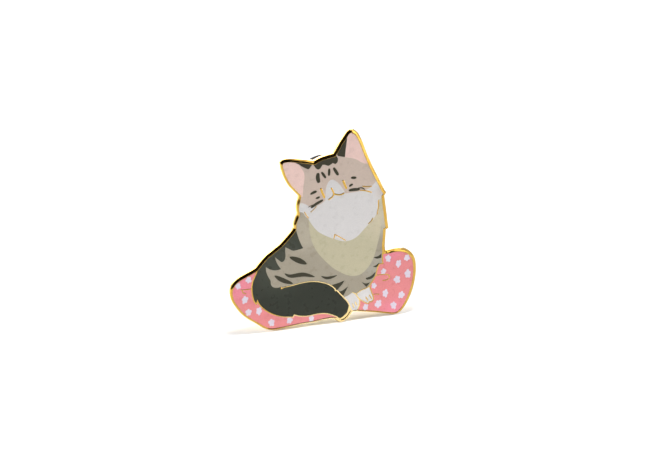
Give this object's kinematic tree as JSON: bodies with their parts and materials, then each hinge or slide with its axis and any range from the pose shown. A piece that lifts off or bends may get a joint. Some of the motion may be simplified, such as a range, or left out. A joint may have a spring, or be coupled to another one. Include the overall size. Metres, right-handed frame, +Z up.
{
  "type": "enamel pin",
  "caption": "Flat gold-plated enamel pin of a tabby cat asleep on a flowered cushion, with raised metal outlines, two needle posts on the back and a sliding rubber clutch on each.",
  "frame": {"origin": "on the badge's flat back face, midway between its two posts", "axes": "+Y out of the back, along both posts; -Y is the way that the picture looks; +Z up the picture, from the lower post to the upper one; +X to the right of the picture seen from its front"},
  "size_m": [0.0393, 0.0117, 0.0422],
  "materials": {
    "gold_plating": "polished gold plating over a die-struck base",
    "ear_pink": "smooth enamel",
    "fur_taupe": "smooth enamel",
    "fur_white": "smooth enamel",
    "fur_cream": "smooth enamel",
    "fur_grey": "smooth enamel",
    "fur_dark": "smooth enamel",
    "cushion_pink": "smooth enamel",
    "print_dark": "printed ink",
    "print_white": "printed ink",
    "post_metal": "gold-plated wire",
    "solder": "dull solder",
    "rubber_black": "matte moulded rubber"
  },
  "bodies": {
    "badge": {"badge_plate": "gold_plating", "ear_left_enamel": "ear_pink", "ear_right_enamel": "ear_pink", "face_enamel": "fur_taupe", "bib_enamel": "fur_white", "chest_enamel": "fur_cream", "coat_enamel": "fur_grey", "back_and_tail_enamel": "fur_dark", "paw_left_enamel": "fur_white", "paw_right_enamel": "fur_white", "cushion_left_enamel": "cushion_pink", "cushion_right_enamel": "cushion_pink", "crown_print": "print_dark", "ear_left_print": "print_dark", "ear_right_print": "print_dark", "forehead_print": "print_dark", "cheek_left_print": "print_dark", "cheek_right_print": "print_dark", "haunch_print": "print_dark", "leg_print": "print_dark", "cushion_left_print": "print_white", "cushion_right_print": "print_white", "upper_post": "post_metal", "lower_post": "post_metal", "upper_solder": "solder", "lower_solder": "solder"},
    "upper_clutch": {"upper_clutch": "rubber_black"},
    "lower_clutch": {"lower_clutch": "rubber_black"}
  },
  "joints": [
    {"name": "upper_clutch_slide", "type": "slide", "parent": "badge", "child": "upper_clutch", "axis": [0, 1, 0], "range_m": [-0.0016, 0.0105]},
    {"name": "lower_clutch_slide", "type": "slide", "parent": "badge", "child": "lower_clutch", "axis": [0, 1, 0], "range_m": [-0.0016, 0.0105]}
  ]
}
